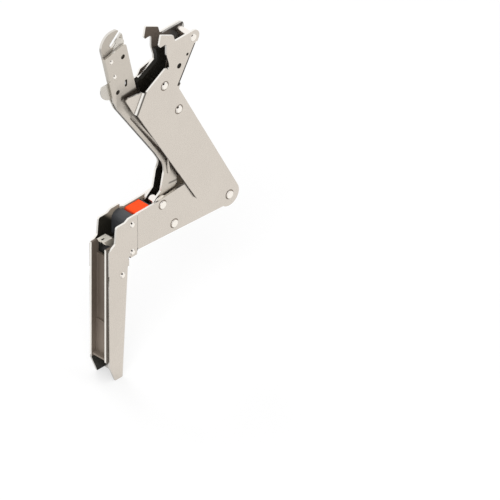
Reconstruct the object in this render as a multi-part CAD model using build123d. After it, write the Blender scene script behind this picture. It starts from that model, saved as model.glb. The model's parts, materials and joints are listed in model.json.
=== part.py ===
from build123d import *
import math
import os

# Clip-on arm set of a lift-up cabinet door, in millimetres.
# X runs from the door socket towards the elbow pivot, Y across the plates, Z up.
# The origin is on the socket's web, in the middle plane, at the socket's lower end.
# A place in the plane of the plates is written (x, z).

# Sheets, widths and clearances
sheet = 1.5
arm_sheet = 1.2
claw_sheet = 1.5
hook_sheet = 1.9
catch_sheet = 0.9
lever_sheet = 2.8
latch_sheet = 1.2
overall_width = 18.4
joggle = 2.0
joggle_run = 2.8
half_width = overall_width / 2
cheek_inner = half_width - sheet
frame_outer = half_width - joggle
frame_inner = frame_outer - sheet
arm_inner = half_width - arm_sheet
claw_inner = arm_inner - claw_sheet
slip = 0.05
side_play = 0.3
housing_gap = 0.15
button_gap = 0.4
bend_radius = 2.0
inner_bend_radius = 0.5

# Axes of the pivots, rivets and pins
main_axis = (109.5, 82.9)
strap_axis = (48.4, 104.0)
stop_axis = (59.4, 83.4)
housing_axis = (17.7, 103.9)
latch_axis = (18.0, 81.5)
socket_axis = (8.7, 67.2)
lever_axis = (48.4, 201.9)
claw_axis = (61.8, 176.2)
claw_pin_axis = (76.7, 226.7)
catch_axis = (6.1, 227.9)
head_axis = (2.9, 241.6)

# Rivets and pins
rivet_radius = 2.4
rivet_head_radius = 3.6
rivet_head_height = 0.8
rivet_dimple_radius = 2.0
rivet_dimple_depth = 0.35
small_rivet_radius = 1.5
small_head_radius = 2.3
small_head_height = 0.9
sleeve_wall = 1.4
strap_bore = 5.0
lever_bore = rivet_radius + slip
claw_pin_radius = 2.8
claw_pin_proud = 0.4
head_rivet_radius = 1.1
head_rivet_head_radius = 1.7
head_rivet_height = 0.5

# Door socket
socket_front = 5.3
socket_height = 93.3
socket_web_top = 83.0
socket_floor_z = 1.8
socket_floor_reach = 4.2
socket_foot_radius = 2.4
ledge_z = 30.0
ledge_depth = 0.9
ear_reach = 12.2
ear_half_height = 6.0

# Frame cheeks, from the tips up to the block
cheek_front = 4.3
foot_front = 3.6
foot_z = -2.1
tip_z = -15.3
tip_front = 1.8
tip_back = 9.9
cheek_back = 14.9
cheek_back_z = 72.0
shoulder_z = 91.2
neck_foot = (1.9, 95.2)
neck_radius = 1.5
block_front = 3.1
block_shoulder_z = 108.3
block_step_x = 14.6
block_step_run = 3.4
block_top_z = 110.2
block_back = 22.4
block_bottom_z = 77.5
corner_radius = 1.5
relief_radius = 0.9

# Lower arm of the frame
frame_arm_foot_z = 79.2
frame_arm_top_z = 108.4
frame_arm_rise_x = 41.6
frame_arm_crest = (69.0, 110.5)
pivot_end_radius = 8.9

# Plates of the upper arm
apex = (50.1, 216.0)
apex_radius = 1.2
arm_notch = (36.1, 207.9)
arm_shoulder = (30.4, 204.4)
arm_corner = (22.9, 190.2)
arm_waist = (79.0, 94.5)
arm_far_apex = (54.5, 212.6)
arm_far_crest = (42.5, 210.2)
arm_far_notch = (39.6, 205.8)
lug_tip = (16.2, 205.0)
lug_tip_radius = 2.0
lug_joggle = 1.7
lug_ramp = 1.6

# Strap
strap_washer = 0.95
strap_half = frame_inner - strap_washer - side_play
strap_width = 2 * strap_half
catch_gap = 1.2
strap_slim_width = sheet + catch_gap + hook_sheet
strap_depth = 8.0
strap_top = (4.6, 209.2)
strap_knee = (8.8, 199.4)
strap_bend = (45.6, 144.9)
strap_drop = (53.4, 131.5)
strap_foot = (49.6, 113.0)
strap_leg_width = 11.0
strap_eye_radius = 6.4
strap_splay_low = 126.0
strap_splay_high = 138.0
strap_bend_radius = 14.0
bead_radius = 3.0
bead_depth = 0.5
bead_start = 18.0
bead_turn = (55.0, 138.0)
bead_end = (56.8, 125.5)

# Head of the strap, its hook and catch
head_lean = 13.0
head_width = 21.0
head_height = 37.7
head_drop_left = 3.0
head_drop_right = 5.7
head_corner_radius = 2.8
flange_depth = 2.5
flange_height = 20.9
flange_bend_radius = 2.0
bend_slack = 0.4
head_hole_radius = 1.6
head_hole_upper = (13.8, 240.6)
head_hole_lower = (9.0, 213.9)
head_slot = (16.7, 217.8)
head_slot_radius = 0.95
head_slot_length = 3.4
hook_seat = (6.2, 252.9)
hook_seat_radius = 2.2
hook_ring_radius = 10.2
hook_tip = (9.4, 260.2)
hook_tip_radius = 2.7
hook_plate_inset = 1.6
hook_plate_rise = 4.0
hook_mouth_angle = 42.0
hook_foot_radius = 3.5
hook_waist_radius = 3.0
catch_nose = (12.0, 250.8)
catch_nose_radius = 4.5
catch_lip = (10.4, 254.2)
catch_lip_radius = 2.4
catch_hub_radius = 3.3
catch_tab = (4.8, 220.0)
catch_tab_radius = 10.1
catch_tab_top_z = 223.6

# Claws
nose_corner = (46.2, 243.6)
nose_end = (57.9, 237.7)
nose_heel = (44.6, 236.0)
nose_tip = (45.5, 233.9)
claw_notch = (59.4, 232.3)
seat_corner = (51.4, 234.2)
seat_foot = (51.4, 224.6)
claw_waist = (53.5, 217.5)
claw_elbow = (53.9, 213.3)
claw_toe = (39.1, 205.5)
claw_heel = (41.0, 200.0)
claw_hip = (63.6, 193.6)
seat_radius = 2.0
notch_radius = 1.2
lobe_radius = 5.6
claw_foot_radius = 6.0
claw_flange_depth = 3.5
claw_hole = (63.3, 210.3)
claw_hole_radius = 1.8
claw_mark = (71.0, 216.0)
claw_mark_radius = 0.9

# Hook lever
lever_nose = (47.4, 229.4)
lever_nose_end = (59.0, 223.8)
lever_throat = (49.0, 223.4)
lever_elbow = (48.8, 217.8)
lever_step = (34.4, 210.5)
lever_tail_top = (33.0, 211.4)
lever_tail_tip = (30.2, 209.9)
lever_tail_side = (32.5, 202.4)
lever_tail_end = (36.4, 196.9)
lever_back = (57.0, 211.0)
lever_hub_radius = 6.2
lever_dome = (40.2, 209.4)
lever_dome_radius = 1.6
lever_dome_height = 0.8

# Latch housing, release button and latch
housing_front = 14.9
housing_face_width = 2 * (cheek_inner - housing_gap)
housing_face_back = 21.9
housing_body_width = 2 * (frame_inner - housing_gap)
housing_bottom_z = 90.0
housing_top_z = 107.4
housing_nose_radius = 5.2
housing_back = 40.4
housing_back_top_z = 106.4
pocket_front = 22.9
pocket_back = 39.0
pocket_floor_z = 101.6
button_front = 24.2
button_back = 38.4
button_top_z = 107.6
button_height = 3.9
button_nose_radius = 2.6
button_width = 2 * (frame_inner - button_gap)
button_travel = 1.5
stem_front = 27.0
stem_back = 31.0
stem_width = 5.0
stem_play = 0.4
latch_top_z = 96.7
latch_front = -2.9
latch_back = 3.4
latch_outer = 3.4
latch_lip_depth = 3.0
latch_lip_lean = 1.6
latch_ear_width = 5.6
latch_eye_radius = 3.6
latch_hub_radius = 2.7
latch_tail = (29.0, 86.4)
latch_tail_radius = 2.2
latch_window_x = -0.4
latch_window_length = 3.2
latch_window_width = 1.3
latch_curl_radius = 0.8
latch_slit = 0.4

# Spring leaves
leaf = 0.6
leaf_width = 3.8
leaf_eye_wall = 0.8


def across(profile, y_low, y_high):
    # Carries a profile drawn in x and z across the plates
    return extrude(Plane.XZ.offset(-y_high) * profile, amount=y_high - y_low)


def both_sides(piece):
    return piece + mirror(piece, about=Plane.XZ)


def disc(axis, radius):
    return Pos(*axis) * Circle(radius)


def bar(axis, radius, y_low, y_high):
    return across(disc(axis, radius), y_low, y_high)


def outline(*points):
    return make_face(Polyline(*points, close=True))


def belt(*rounds):
    # The outline of a belt laid round several discs, each given as (centre, radius)
    return make_hull([edge for centre, radius in rounds for edge in disc(centre, radius).edges()])


def rounded(profile, *corners):
    # Rounds the corners of a profile, each given as (place, radius)
    for place, radius in corners:
        nearest = profile.vertices().sort_by_distance(Vector(*place))[0]
        profile = fillet(nearest, radius)
    return profile


def shifted(point, dx, dz):
    return (point[0] + dx, point[1] + dz)


def direction(start, end):
    length = math.dist(start, end)
    return ((end[0] - start[0]) / length, (end[1] - start[1]) / length)


def touch(point, centre, radius, side):
    # Where a line from a point touches a disc, on its left (side 1) or right (side -1)
    span = math.dist(point, centre)
    bearing = math.atan2(centre[1] - point[1], centre[0] - point[0])
    angle = bearing + side * math.asin(radius / span)
    reach = math.sqrt(span ** 2 - radius ** 2)
    return shifted(point, reach * math.cos(angle), reach * math.sin(angle))


def along(point, heading, distance):
    return shifted(point, heading[0] * distance, heading[1] * distance)


def flat_rivet(axis, half_length, radius, head_radius, head_height):
    # A through rivet with a flat head and a shallow dimple on both sides
    tip = half_length + head_height
    body = bar(axis, radius, -half_length, half_length)
    head = bar(axis, head_radius, half_length, tip)
    head = chamfer(head.faces().sort_by(Axis.Y)[-1].edges(), head_height / 3)
    head -= bar(axis, rivet_dimple_radius, tip - rivet_dimple_depth, tip)
    return body + both_sides(head)


def domed_rivet(axis, half_length, radius, head_radius, head_height):
    tip = half_length + head_height
    body = bar(axis, radius, -half_length, half_length)
    head = bar(axis, head_radius, half_length, tip)
    head = fillet(head.faces().sort_by(Axis.Y)[-1].edges(), head_height * 0.75)
    return body + both_sides(head)


def ring(axis, inner_radius, outer_radius, y_low, y_high):
    return across(disc(axis, outer_radius) - disc(axis, inner_radius), y_low, y_high)


# Frame

def frame_outline():
    arm_foot = (block_back, frame_arm_foot_z)
    arm_top = (block_back, frame_arm_top_z)
    rise = (frame_arm_rise_x, frame_arm_top_z)
    arm = outline(
        arm_foot, arm_top, rise, frame_arm_crest,
        touch(frame_arm_crest, main_axis, pivot_end_radius, 1), main_axis,
        touch(arm_foot, main_axis, pivot_end_radius, -1),
    ) + disc(main_axis, pivot_end_radius)
    block = outline(
        (tip_front, tip_z), (tip_back, tip_z), (cheek_back, cheek_back_z),
        (cheek_back, block_bottom_z), (block_back, block_bottom_z), (block_back, block_top_z),
        (block_step_x, block_top_z), (block_step_x - block_step_run, block_shoulder_z),
        (block_front, block_shoulder_z), neck_foot, (-cheek_front, shoulder_z), (-foot_front, foot_z),
    )
    block = rounded(
        block,
        ((block_front, block_shoulder_z), corner_radius),
        (neck_foot, neck_radius),
        ((block_back, block_bottom_z), corner_radius / 2),
    )
    profile = block + arm
    inner_corner = (cheek_back, block_bottom_z)
    joggle_foot = (block_back + joggle_run / 2, frame_arm_foot_z)
    profile -= disc(shifted(inner_corner, relief_radius / 2, relief_radius / 2), relief_radius)
    profile -= disc(shifted(joggle_foot, 0, relief_radius * 1.5), relief_radius)
    return profile


def frame_layers():
    # The joggled section of one side, seen from above: wide at the block, narrow along the arm
    far_end = main_axis[0] + 2 * pivot_end_radius
    bend_shift = sheet * math.tan(math.atan2(joggle, joggle_run) / 2)
    return outline(
        (-2 * cheek_front, half_width), (block_back, half_width),
        (block_back + joggle_run, frame_outer), (far_end, frame_outer),
        (far_end, frame_inner), (block_back + joggle_run - bend_shift, frame_inner),
        (block_back - bend_shift, cheek_inner), (-2 * cheek_front, cheek_inner),
    )


def carrier_frame():
    band = Pos(0, 0, tip_z) * extrude(frame_layers(), amount=block_top_z - tip_z)
    side = across(frame_outline(), 0, half_width) & band
    slope = direction((tip_back, tip_z), (cheek_back, cheek_back_z))
    thickness = sheet / slope[1]
    web = outline(
        (tip_back, tip_z), (cheek_back, cheek_back_z),
        (cheek_back - thickness, cheek_back_z), (tip_back - thickness, tip_z),
    )
    web = across(web, -half_width, half_width)
    wrap = outline(
        (tip_back, -half_width), (tip_back, half_width),
        (-2 * cheek_front, half_width), (-2 * cheek_front, -half_width),
    )
    wrap = rounded(
        wrap, ((tip_back, -half_width), bend_radius), ((tip_back, half_width), bend_radius))
    wrap = extrude(Pos(0, 0, tip_z) * wrap, amount=math.dist((tip_back, tip_z), (cheek_back, cheek_back_z)),
                   dir=(slope[0], 0, slope[1]))
    above = Pos(0, 0, cheek_back_z + overall_width * 5) * Box(
        5 * main_axis[0], overall_width, overall_width * 10)
    frame = (both_sides(side) + web) & (wrap + above)
    for axis in (housing_axis, latch_axis, socket_axis):
        frame -= bar(axis, small_rivet_radius, -half_width, half_width)
    for axis in (strap_axis, stop_axis, main_axis):
        frame -= bar(axis, rivet_radius, -half_width, half_width)
    return frame


def socket_channel():
    outer = cheek_inner - slip
    inner = outer - sheet
    section = outline(
        (-socket_front, -outer), (sheet, -outer), (sheet, outer), (-socket_front, outer),
        (-socket_front, inner), (0, inner), (0, -inner), (-socket_front, -inner),
    )
    section = rounded(
        section,
        ((sheet, -outer), bend_radius), ((sheet, outer), bend_radius),
        ((0, -inner), inner_bend_radius), ((0, inner), inner_bend_radius),
    )
    channel = extrude(section, amount=socket_height)
    foot = Pos(-socket_front, 0, 0) * Rot(90, 0, 0) * Box(
        2 * socket_foot_radius, 2 * socket_foot_radius, overall_width)
    foot -= bar((-socket_front + socket_foot_radius, socket_foot_radius), socket_foot_radius,
                -half_width, half_width)
    channel -= foot
    web_gap = Box(2 * socket_front, 2 * inner, socket_height - socket_web_top)
    channel -= Pos(0, 0, (socket_height + socket_web_top) / 2) * web_gap
    floor = Box(socket_floor_reach, 2 * inner, sheet)
    channel += Pos(-socket_floor_reach / 2, 0, socket_floor_z + sheet / 2) * floor
    ledge = Box(ledge_depth, 2 * inner, ledge_z - socket_floor_z)
    channel += Pos(-ledge_depth / 2, 0, (ledge_z + socket_floor_z) / 2) * ledge
    ear = outline(
        (0, socket_axis[1] - ear_half_height), (ear_reach, socket_axis[1] - ear_half_height),
        (ear_reach, socket_axis[1] + ear_half_height), (0, socket_axis[1] + ear_half_height),
    )
    channel += both_sides(across(ear, inner, outer))
    return channel - bar(socket_axis, small_rivet_radius, -half_width, half_width)


# Latch housing, button and latch

def latch_housing():
    profile = outline(
        (housing_front, housing_bottom_z), (housing_back, housing_bottom_z),
        (housing_back, housing_back_top_z), (pocket_back, housing_back_top_z),
        (pocket_back, pocket_floor_z), (pocket_front, pocket_floor_z),
        (pocket_front, housing_top_z), (housing_front, housing_top_z),
    )
    profile = rounded(
        profile,
        ((housing_front, housing_top_z), housing_nose_radius),
        ((housing_front, housing_bottom_z), corner_radius),
        ((housing_back, housing_back_top_z), corner_radius / 2),
    )
    body = across(profile, -housing_body_width / 2, housing_body_width / 2)
    face = across(profile, -housing_face_width / 2, housing_face_width / 2)
    face &= Pos((housing_front + housing_face_back) / 2, 0, (housing_bottom_z + housing_top_z) / 2) * Box(
        housing_face_back - housing_front, overall_width, 2 * (housing_top_z - housing_bottom_z))
    shaft = Pos((stem_front + stem_back) / 2, 0, (housing_bottom_z + pocket_floor_z) / 2) * Box(
        stem_back - stem_front + 2 * stem_play, stem_width + 2 * stem_play,
        2 * (pocket_floor_z - housing_bottom_z))
    return body + face - shaft - bar(housing_axis, small_rivet_radius, -half_width, half_width)


def release_button():
    bottom = button_top_z - button_height
    profile = outline(
        (button_front, bottom), (button_back, bottom), (button_back, button_top_z),
        (button_front, button_top_z),
    )
    profile = rounded(
        profile,
        ((button_front, bottom), corner_radius / 2),
        ((button_front, button_top_z), button_nose_radius),
        ((button_back, button_top_z), corner_radius / 2),
    )
    cap = across(profile, -button_width / 2, button_width / 2)
    cap = fillet(cap.faces().sort_by(Axis.Z)[-1].edges().filter_by(Axis.X), corner_radius / 3)
    stem_foot = latch_tail[1] + latch_tail_radius + side_play
    stem = Pos((stem_front + stem_back) / 2, 0, (bottom + stem_foot) / 2) * Box(
        stem_back - stem_front, stem_width, bottom - stem_foot)
    return cap + stem


def socket_latch():
    tail_head = (latch_back, latch_top_z - latch_ear_width / 2)
    lip_foot = (latch_front + latch_lip_lean, latch_top_z - latch_lip_depth)
    ear = belt((latch_axis, latch_eye_radius), (tail_head, latch_ear_width / 2))
    ear += belt((latch_axis, latch_eye_radius), (latch_tail, latch_tail_radius))
    ear += outline(
        (latch_front, latch_top_z), (latch_back, latch_top_z),
        (latch_back, latch_top_z - latch_ear_width), lip_foot,
    )
    ears = both_sides(across(ear, latch_outer - latch_sheet, latch_outer))
    crown = outline(
        (latch_front, latch_top_z), (latch_back, latch_top_z),
        (latch_back, latch_top_z - latch_sheet),
        (latch_front + 2 * latch_sheet, latch_top_z - latch_sheet),
        shifted(lip_foot, latch_sheet, 0), lip_foot,
    )
    latch = ears + across(crown, -latch_outer, latch_outer)
    curl = (latch_back + latch_slit + latch_curl_radius, latch_top_z - latch_curl_radius)
    latch += bar(curl, latch_curl_radius, -latch_outer, latch_outer)
    latch += bar(latch_tail, latch_tail_radius, -latch_outer, latch_outer)
    hub_end = cheek_inner - side_play
    latch += bar(latch_axis, latch_hub_radius, -hub_end, hub_end)
    latch -= Pos(latch_window_x, 0, latch_top_z) * Box(
        latch_window_length, latch_window_width, 2 * latch_lip_depth)
    return latch - bar(latch_axis, small_rivet_radius + slip, -half_width, half_width)


def latch_spring():
    # A leaf clamped round the socket rivet, that lifts the latch's tail
    eye = ring(socket_axis, small_rivet_radius + slip, small_rivet_radius + slip + leaf_eye_wall,
               -leaf_width / 2, leaf_width / 2)
    start = shifted(socket_axis, small_rivet_radius + leaf_eye_wall / 2, 0)
    under_z = latch_axis[1] - latch_eye_radius - 2 * leaf
    knee = (start[0] + leaf, under_z)
    heel = (latch_axis[0] + latch_eye_radius / 2, under_z)
    end = (latch_tail[0], latch_tail[1] - latch_tail_radius - leaf / 2 - slip)
    line = FilletPolyline(start, knee, heel, end, radius=latch_tail_radius)
    return eye + across(trace(line, leaf), -leaf_width / 2, leaf_width / 2)


# Upper arm

def arm_outline(top, *upper_edge):
    # The upper edge runs from the shoulder of the lug to the arm's top corner
    return rounded(
        outline(
            top, touch(top, main_axis, pivot_end_radius, 1), main_axis,
            touch(arm_waist, main_axis, pivot_end_radius, -1), arm_waist, arm_corner,
            arm_shoulder, *upper_edge,
        ),
        (top, apex_radius),
    ) + disc(main_axis, pivot_end_radius)


def arm_lug():
    # The finger at the arm's left corner, bent in by the joggle
    edge = direction(arm_corner, arm_shoulder)
    step = (-edge[1] * lug_ramp, edge[0] * lug_ramp)
    upper = shifted(arm_shoulder, *step)
    lower = shifted(arm_corner, *step)
    finger = outline(upper, lower, lug_tip) + belt((lug_tip, lug_tip_radius), (upper, slip), (lower, slip))
    flat = across(finger, half_width - lug_joggle - arm_sheet, half_width - lug_joggle)
    ramp = loft([
        Face(Wire.make_polygon([
            (a[0], y, a[1]), (b[0], y, b[1]), (b[0], y - arm_sheet, b[1]), (a[0], y - arm_sheet, a[1]),
        ]))
        for a, b, y in (
            (arm_corner, arm_shoulder, half_width), (lower, upper, half_width - lug_joggle))
    ])
    return flat + ramp


def main_arm_plate(top, *upper_edge):
    plate = across(arm_outline(top, *upper_edge), arm_inner, half_width) + arm_lug()
    for axis in (lever_axis, claw_axis):
        plate -= bar(axis, rivet_radius, 0, half_width)
    return plate - bar(main_axis, rivet_radius + slip, 0, half_width)


def claw_flange(start, end):
    # The rounded bend along the claw's lower right edge with its short flange
    edge = direction(start, end)
    foot = arm_inner - claw_flange_depth
    section = outline(
        (0, arm_inner), (0, foot), (-claw_sheet, foot), (-claw_sheet, claw_inner),
        (-flange_bend_radius, claw_inner), (-flange_bend_radius, arm_inner),
    )
    section = rounded(
        section, ((0, arm_inner), flange_bend_radius), ((-claw_sheet, claw_inner), bend_slack))
    plane = Plane(origin=(start[0], 0, start[1]), x_dir=(edge[1], 0, -edge[0]),
                  z_dir=(edge[0], 0, edge[1]))
    return extrude(plane * section, amount=math.dist(start, end))


def claw_plate():
    top = shifted(claw_pin_axis, 0, lobe_radius)
    cheek = outline(
        nose_corner, nose_end, claw_notch, top, claw_pin_axis,
        touch(claw_hip, claw_pin_axis, lobe_radius, -1), claw_hip, claw_axis, claw_heel,
        claw_toe, claw_elbow, claw_waist, seat_foot, seat_corner, nose_tip, nose_heel,
    )
    cheek = rounded(
        cheek,
        (nose_corner, notch_radius / 2), (nose_end, notch_radius), (claw_notch, notch_radius),
        (seat_corner, seat_radius), (nose_tip, notch_radius / 2), (seat_foot, claw_foot_radius),
        (claw_elbow, notch_radius),
    )
    cheek += disc(claw_pin_axis, lobe_radius)
    cheek += belt((lever_axis, claw_foot_radius), (claw_axis, claw_foot_radius))
    cheek -= disc(claw_pin_axis, claw_pin_radius)
    cheek -= disc(claw_hole, claw_hole_radius)
    cheek -= disc(claw_mark, claw_mark_radius)
    edge_top = touch(claw_hip, claw_pin_axis, lobe_radius, -1)
    edge = direction(claw_hip, edge_top)
    start = along(claw_hip, edge, 2 * notch_radius)
    end = along(edge_top, edge, -2 * notch_radius)
    inward = (-edge[1] * flange_bend_radius, edge[0] * flange_bend_radius)
    cheek -= outline(start, end, shifted(end, *inward), shifted(start, *inward))
    plate = across(cheek, claw_inner, arm_inner) + claw_flange(start, end)
    for axis in (lever_axis, claw_axis):
        plate -= bar(axis, rivet_radius, 0, half_width)
    return plate


def claw_pin():
    tip = arm_inner + claw_pin_proud
    pin = bar(claw_pin_axis, claw_pin_radius, -tip, tip)
    ends = pin.edges().filter_by(GeomType.CIRCLE)
    return chamfer(ends, claw_pin_proud / 2)


def hook_lever():
    profile = outline(
        lever_nose, lever_nose_end, lever_back, shifted(lever_axis, lever_hub_radius, 0),
        lever_axis, shifted(lever_axis, 0, -lever_hub_radius), lever_tail_end, lever_tail_side,
        lever_tail_tip, lever_tail_top, lever_step, lever_elbow, lever_throat,
    )
    profile = rounded(
        profile,
        (lever_nose, notch_radius / 2), (lever_nose_end, notch_radius),
        (lever_elbow, notch_radius), (lever_tail_tip, notch_radius / 2),
        (lever_tail_side, lever_hub_radius), (lever_tail_end, notch_radius),
    )
    profile += disc(lever_axis, lever_hub_radius)
    lever = across(profile, -lever_sheet / 2, lever_sheet / 2)
    dome = bar(lever_dome, lever_dome_radius, -lever_sheet / 2 - lever_dome_height, 0)
    return lever + dome - bar(lever_axis, lever_bore, -half_width, half_width)


def lever_spacers():
    # Two rings that keep the hook lever in the middle of its rivet
    return both_sides(ring(
        lever_axis, rivet_radius, rivet_radius + sleeve_wall, lever_sheet / 2 + side_play, claw_inner))


# Strap

def strap_frame():
    # The unit direction of the straight run and the one across it, to the upper right
    run = direction(strap_knee, strap_bend)
    return run, (-run[1], run[0])


def strap_right(inset):
    # The strap's upper-right edge, from the head down to the leg, moved in by an inset
    run, over = strap_frame()
    knee = along(strap_knee, over, strap_depth - inset)
    bend = along(strap_bend, over, strap_depth - inset)
    leg_x = strap_drop[0] + strap_leg_width - inset
    reach = (leg_x - bend[0]) / run[0]
    return knee, along(bend, run, reach), (leg_x, strap_foot[1])


def strap_outline():
    knee, bend, heel = strap_right(0)
    run, over = strap_frame()
    head_foot = (strap_top[0] + strap_depth / over[0], strap_top[1])
    body = outline(
        strap_top, strap_knee, strap_bend, strap_drop, strap_foot,
        touch(strap_foot, strap_axis, strap_eye_radius, -1), strap_axis,
        touch(heel, strap_axis, strap_eye_radius, 1),
        heel, bend, knee, head_foot,
    )
    body = rounded(
        body,
        (bend, strap_bend_radius), (strap_bend, strap_bend_radius / 2),
        (strap_drop, strap_bend_radius), (strap_knee, strap_bend_radius),
    )
    return body + disc(strap_axis, strap_eye_radius)


def strap_section(inset):
    # The strap seen along X: slim at the run, splayed at the leg
    near = -strap_width / 2 + inset
    slim = -strap_width / 2 + strap_slim_width - inset
    wide = strap_width / 2 - inset
    low = strap_axis[1] - 2 * strap_eye_radius
    profile = Polyline(
        (near, low), (near, strap_top[1]), (slim, strap_top[1]), (slim, strap_splay_high),
        (wide, strap_splay_low), (wide, low), close=True,
    )
    return extrude(Plane.YZ.offset(-strap_depth) * make_face(profile), amount=2 * main_axis[0])


def head_place(reach, rise):
    # A place on the leaning head, from its lower left corner
    lean = math.radians(head_lean)
    base = along(strap_top, (math.cos(lean), math.sin(lean)), reach)
    return along(base, (-math.sin(lean), math.cos(lean)), rise)


def head_outline():
    top_right = head_place(head_width, head_height)
    head = outline(
        head_place(0, -head_drop_left), head_place(head_width, -head_drop_right),
        top_right, head_place(0, head_height),
    )
    return rounded(head, (top_right, head_corner_radius))


def head_flange(near):
    # The rounded bend along the head's left edge with its short flange
    lean = math.radians(head_lean)
    section = outline(
        (0, near), (flange_bend_radius, near), (flange_bend_radius, near + sheet),
        (sheet, near + sheet), (sheet, near + flange_depth), (0, near + flange_depth),
    )
    section = rounded(section, ((0, near), flange_bend_radius), ((sheet, near + sheet), bend_slack))
    foot = head_place(0, head_height - flange_height)
    plane = Plane(origin=(foot[0], 0, foot[1]), x_dir=(math.cos(lean), 0, math.sin(lean)),
                  z_dir=(-math.sin(lean), 0, math.cos(lean)))
    return extrude(plane * section, amount=flange_height)


def strap_link():
    near = -strap_width / 2
    body = across(strap_outline(), -half_width, half_width) & strap_section(0)
    knee, bend, heel = strap_right(sheet)
    run, over = strap_frame()
    head_foot = along(strap_knee, run, -2 * strap_depth)
    hollow = outline(
        along(head_foot, over, strap_depth - sheet), along(head_foot, over, -4 * strap_depth),
        (-4 * strap_depth, strap_axis[1] - 2 * strap_eye_radius),
        (heel[0] + 2 * sheet, strap_axis[1] - 2 * strap_eye_radius),
        (heel[0] + 2 * sheet, heel[1]), heel, bend, knee,
    )
    body -= across(hollow, -half_width, half_width) & strap_section(sheet)
    flange_foot = head_height - flange_height
    head = head_outline() - outline(
        head_place(-sheet, flange_foot), head_place(flange_bend_radius, flange_foot),
        head_place(flange_bend_radius, head_height + sheet), head_place(-sheet, head_height + sheet),
    )
    head -= disc(head_hole_upper, head_hole_radius) + disc(head_hole_lower, head_hole_radius)
    head -= belt(
        (shifted(head_slot, 0, -head_slot_length / 2), head_slot_radius),
        (shifted(head_slot, 0, head_slot_length / 2), head_slot_radius),
    )
    head -= disc(head_axis, head_rivet_radius) + disc(catch_axis, head_rivet_radius)
    body += across(head, near, near + sheet) + head_flange(near)
    start = along(along(strap_knee, over, strap_depth / 2), run, bead_start)
    bead_y = near - bead_radius + bead_depth
    line = Plane.XZ.offset(-bead_y) * FilletPolyline(start, bead_turn, bead_end, radius=strap_bend_radius)
    bead = sweep(Plane(origin=line @ 0, z_dir=line % 0) * Circle(bead_radius), path=line)
    for tip in (start, bead_end):
        bead += Pos(tip[0], bead_y, tip[1]) * Sphere(bead_radius)
    return body - bead - bar(strap_axis, strap_bore, -half_width, half_width)


def strap_hook():
    far = -strap_width / 2 + strap_slim_width
    plate = belt(
        (catch_axis, hook_foot_radius), (head_axis, hook_waist_radius), (hook_seat, hook_ring_radius))
    plate += belt((hook_seat, hook_ring_radius), (hook_tip, hook_tip_radius))
    plate += outline(*(
        head_place(reach, rise)
        for reach, rise in (
            (hook_plate_inset, hook_plate_rise),
            (head_width - hook_plate_inset, hook_plate_rise),
            (head_width - hook_plate_inset, head_height - hook_plate_inset),
            (hook_plate_inset, head_height - hook_plate_inset))
    ))
    heading = (math.cos(math.radians(hook_mouth_angle)), math.sin(math.radians(hook_mouth_angle)))
    mouth = along(hook_seat, heading, 2 * hook_ring_radius)
    plate -= belt((hook_seat, hook_seat_radius), (mouth, hook_seat_radius))
    plate -= disc(head_axis, head_rivet_radius) + disc(catch_axis, head_rivet_radius)
    return across(plate, far - hook_sheet, far)


def hook_catch():
    gap_low = -strap_width / 2 + sheet
    gap_high = -strap_width / 2 + strap_slim_width - hook_sheet
    middle = (gap_low + gap_high) / 2
    plate = belt(
        (catch_axis, catch_hub_radius), (catch_nose, catch_nose_radius), (catch_lip, catch_lip_radius))
    left = catch_tab[0] - catch_tab_radius
    right = catch_axis[0] + catch_hub_radius
    low = catch_tab[1] - catch_tab_radius
    plate += disc(catch_tab, catch_tab_radius) & outline(
        (left, low), (right, low), (right, catch_axis[1]),
        (catch_axis[0] - catch_hub_radius, catch_axis[1]),
        (catch_axis[0] - catch_hub_radius, catch_tab_top_z), (left, catch_tab_top_z),
    )
    plate -= disc(hook_seat, hook_seat_radius + side_play)
    plate -= disc(catch_axis, head_rivet_radius + slip)
    return across(plate, middle - catch_sheet / 2, middle + catch_sheet / 2)


def head_rivet(axis):
    near = -strap_width / 2
    far = near + strap_slim_width
    rivet = bar(axis, head_rivet_radius, near, far)
    for low, high in ((near - head_rivet_height, near), (far, far + head_rivet_height)):
        rivet += bar(axis, head_rivet_head_radius, low, high)
    return rivet


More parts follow.
